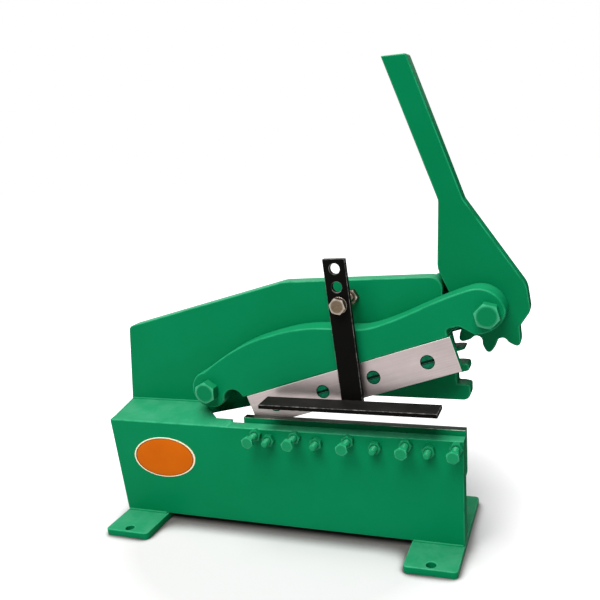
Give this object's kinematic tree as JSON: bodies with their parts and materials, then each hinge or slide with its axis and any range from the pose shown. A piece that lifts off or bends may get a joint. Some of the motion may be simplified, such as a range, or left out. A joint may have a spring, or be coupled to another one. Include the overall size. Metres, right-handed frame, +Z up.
{
  "type": "geared hand shearing machine",
  "caption": "Bench-mounted hand shear: a toothed hand lever rolls on a fixed rack and swings a jaw with a straight blade past a fixed lower blade; adjustable hold-down in front.",
  "frame": {"origin": "middle of the four foot holes, on the bench surface", "axes": "+Z up, +X along the blades towards the handle end, -Y towards the operator"},
  "size_m": [0.5104, 0.168, 0.5235],
  "materials": {
    "green_paint": "glossy enamel with light wear on the edges",
    "ground_steel": "ground",
    "bare_steel": "plated, worn",
    "black_paint": "satin"
  },
  "bodies": {
    "base": {"front_plate": "green_paint", "foot_left": "green_paint", "foot_right": "green_paint", "shelf_plate": "green_paint", "frame_plate": "green_paint", "blade_seat": "green_paint", "lower_blade": "green_paint", "push_bolts": "green_paint", "push_nuts": "green_paint", "blade_studs": "green_paint", "stud_nuts": "green_paint", "main_bolt": "green_paint", "main_nut": "green_paint", "main_washers": "green_paint", "hold_down_bolt": "bare_steel", "hold_down_nuts": "bare_steel", "hold_down_washer": "bare_steel"},
    "jaw": {"jaw": "green_paint", "upper_blade": "ground_steel", "blade_screws": "green_paint", "rear_link": "green_paint", "handle_bolt": "green_paint", "handle_nut": "green_paint", "handle_washers": "green_paint"},
    "handle": {"handle": "green_paint"},
    "hold_down": {"hold_down_post": "black_paint", "hold_down_strip": "black_paint"}
  },
  "joints": [
    {"name": "jaw_pivot", "type": "hinge", "parent": "base", "child": "jaw", "pos_m": [-0.091, 0, 0.1715], "axis": [0, 1, 0], "range_deg": [0, 12.2]},
    {"name": "handle_pivot", "type": "hinge", "parent": "jaw", "child": "handle", "pos_m": [0.2431, 0, 0.26888], "axis": [0, 1, 0], "range_deg": [0, 98.4]},
    {"name": "hold_down_swing", "type": "hinge", "parent": "base", "child": "hold_down", "pos_m": [0.08787, 0, 0.2805], "axis": [0, 1, 0], "range_deg": [-8, 8]}
  ],
  "couplings": [
    {"joint": "handle_pivot", "follows": "jaw_pivot", "ratio": 8.0625}
  ]
}
